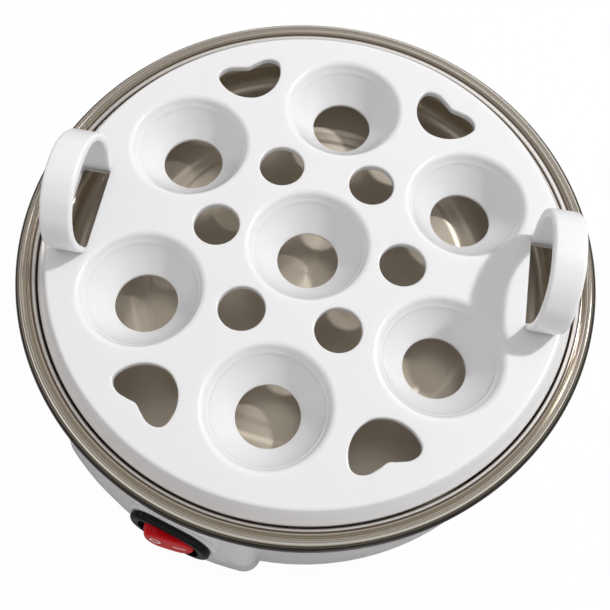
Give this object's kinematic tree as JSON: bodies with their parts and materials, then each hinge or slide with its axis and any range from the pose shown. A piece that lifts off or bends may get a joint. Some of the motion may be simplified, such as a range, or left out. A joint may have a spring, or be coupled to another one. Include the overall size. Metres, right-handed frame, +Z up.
{
  "type": "egg boiler",
  "caption": "Round electric egg boiler base with rocker switch, brushed heating pan and lift-out moulded tray with egg cups, heart and round vents and two arch handles.",
  "frame": {"origin": "on the floor, under the centre of the heating pan", "axes": "+Z up, the rocker switch faces -Y, the cord bush faces +Y"},
  "size_m": [0.165, 0.1781, 0.0775],
  "materials": {
    "white_plastic": "smooth gloss",
    "stainless": "turned brushed grain, polished bead",
    "seal_rubber": "soft matt",
    "cover_plastic": "fine matt",
    "screw_steel": "zinc bright",
    "foot_rubber": "soft matt",
    "spreader_aluminium": "cast dull",
    "element_aluminium": "drawn tube",
    "ceramic_bead": "glazed",
    "tab_steel": "pressed sheet",
    "phenolic": "moulded dull",
    "blade_brass": "pressed",
    "sleeve_fabric": "woven glass sleeve",
    "black_plastic": "moulded satin",
    "red_plastic": "clear red, polished",
    "spring_steel": "drawn wire",
    "lamp_glass": "clear",
    "block_nylon": "moulded",
    "clear_sleeve": "soft sleeve",
    "wire_cover": "heat-proof cover"
  },
  "bodies": {
    "base": {"heating_pan": "stainless", "rim_seal": "seal_rubber", "base_housing": "white_plastic", "bottom_cover": "cover_plastic", "cover_screws": "screw_steel", "rubber_feet": "foot_rubber", "heat_spreader": "spreader_aluminium", "heating_element": "element_aluminium", "element_beads": "ceramic_bead", "element_tabs": "tab_steel", "thermostat_cap": "tab_steel", "thermostat_body": "phenolic", "thermostat_blades": "blade_brass", "thermostat_bracket": "tab_steel", "plate_screws": "screw_steel", "fuse_sleeve": "sleeve_fabric", "fuse_clip": "tab_steel", "pan_studs": "screw_steel", "stud_washers": "screw_steel", "stud_nuts": "screw_steel", "earth_lug": "blade_brass", "switch_body": "black_plastic", "switch_blades": "blade_brass", "neon_lamp": "lamp_glass", "cord_bushing": "black_plastic", "bushing_nut": "black_plastic", "terminal_block": "block_nylon", "block_screws": "screw_steel", "blade_sleeves": "clear_sleeve", "lead_wires": "wire_cover"},
    "tray": {"egg_tray": "white_plastic"},
    "rocker": {"switch_rocker": "red_plastic", "rocker_plunger": "blade_brass", "rocker_spring": "spring_steel"},
    "contact_arm": {"contact_arm": "blade_brass"}
  },
  "joints": [
    {"name": "tray_lift", "type": "slide", "parent": "base", "child": "tray", "axis": [0, 0, 1], "range_m": [0, 0.06]},
    {"name": "rocker_hinge", "type": "hinge", "parent": "base", "child": "rocker", "pos_m": [0, -0.08264, 0.03025], "axis": [0, 0.165, 0.9863], "range_deg": [-20, 0]},
    {"name": "arm_hinge", "type": "hinge", "parent": "base", "child": "contact_arm", "pos_m": [0, -0.07357, 0.02873], "axis": [0, 0.165, 0.9863], "range_deg": [0, 10]}
  ],
  "couplings": [
    {"joint": "arm_hinge", "follows": "rocker_hinge", "ratio": -0.5}
  ]
}
